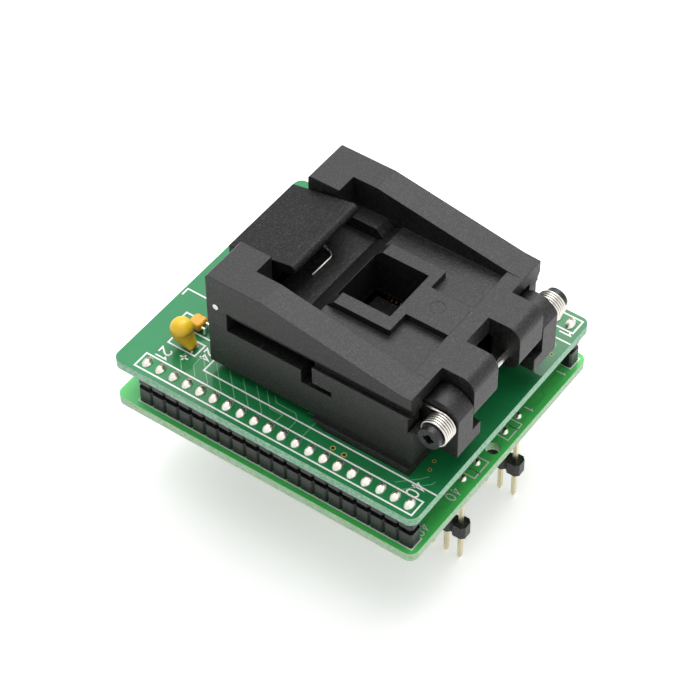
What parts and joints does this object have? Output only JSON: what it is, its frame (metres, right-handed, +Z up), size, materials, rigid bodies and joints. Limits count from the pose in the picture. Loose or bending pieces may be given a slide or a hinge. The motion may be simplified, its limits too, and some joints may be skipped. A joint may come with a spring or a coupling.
{
  "type": "clamshell zero-insertion-force socket adapter",
  "caption": "Clamshell zero-insertion-force test socket with a spring latch on a stacked pair of boards that plug into a wide dual-in-line socket.",
  "frame": {"origin": "centre of the plug's pin field, on the seating face under its two pin blocks", "axes": "+X along the pin rows towards the hinge, +Y across them away from the viewer's side, +Z up, out of the board that the part plugs into"},
  "size_m": [0.0557, 0.0484, 0.0472],
  "materials": {
    "board_low": "green solder resist on glass-epoxy board",
    "board_up": "green solder resist on glass-epoxy board",
    "plug_pin": "thin pale gold plating",
    "contact": "gold-plated spring contact",
    "block": "black moulded pin block",
    "strip": "black moulded socket strip",
    "solder": "bright solder",
    "socket_plastic": "matt dark grey glass-filled moulding",
    "steel": "bright spring steel",
    "bushing": "dark moulded bushing",
    "dip_epoxy": "yellow-orange dipped epoxy",
    "disc_epoxy": "orange dipped epoxy",
    "lead": "tinned lead"
  },
  "bodies": {
    "plug_stack": {"lower_board": "board_low", "plug_pins_front": "plug_pin", "plug_pins_back": "plug_pin", "plug_block_front": "block", "plug_block_back": "block", "socket_strip_front": "strip", "socket_strip_back": "strip", "strip_sleeves": "contact", "lower_solder": "solder"},
    "socket_stack": {"upper_board": "board_up", "join_block_front": "block", "join_block_back": "block", "join_pins_front": "plug_pin", "join_pins_back": "plug_pin", "upper_solder": "solder", "socket_base": "socket_plastic", "contacts_latch_side": "contact", "contacts_hinge_side": "contact", "contacts_front": "contact", "contacts_back": "contact", "hinge_shaft": "steel", "hinge_bushing_front": "bushing", "hinge_bushing_back": "bushing", "hinge_spring_front": "steel", "hinge_spring_back": "steel", "dipped_capacitor": "dip_epoxy", "disc_capacitor": "disc_epoxy", "capacitor_leads": "lead"},
    "lid": {"lid": "socket_plastic", "latch_pin": "steel", "latch_spring": "steel"},
    "latch": {"latch": "socket_plastic"}
  },
  "joints": [
    {"name": "board_unplug", "type": "slide", "parent": "plug_stack", "child": "socket_stack", "axis": [0, 0, 1], "range_m": [0, 0.006]},
    {"name": "lid_hinge", "type": "hinge", "parent": "socket_stack", "child": "lid", "pos_m": [0.024, 0, 0.0308], "axis": [0, 1, 0], "range_deg": [0, 95], "deforming": ["hinge_spring_front", "hinge_spring_back"]},
    {"name": "latch_pivot", "type": "hinge", "parent": "lid", "child": "latch", "pos_m": [-0.0141, 0, 0.03505], "axis": [0, 1, 0], "range_deg": [0, 12], "stiffness_Nm_per_rad": 0.02, "springref_deg": -5.73, "deforming": ["latch_spring"]}
  ]
}
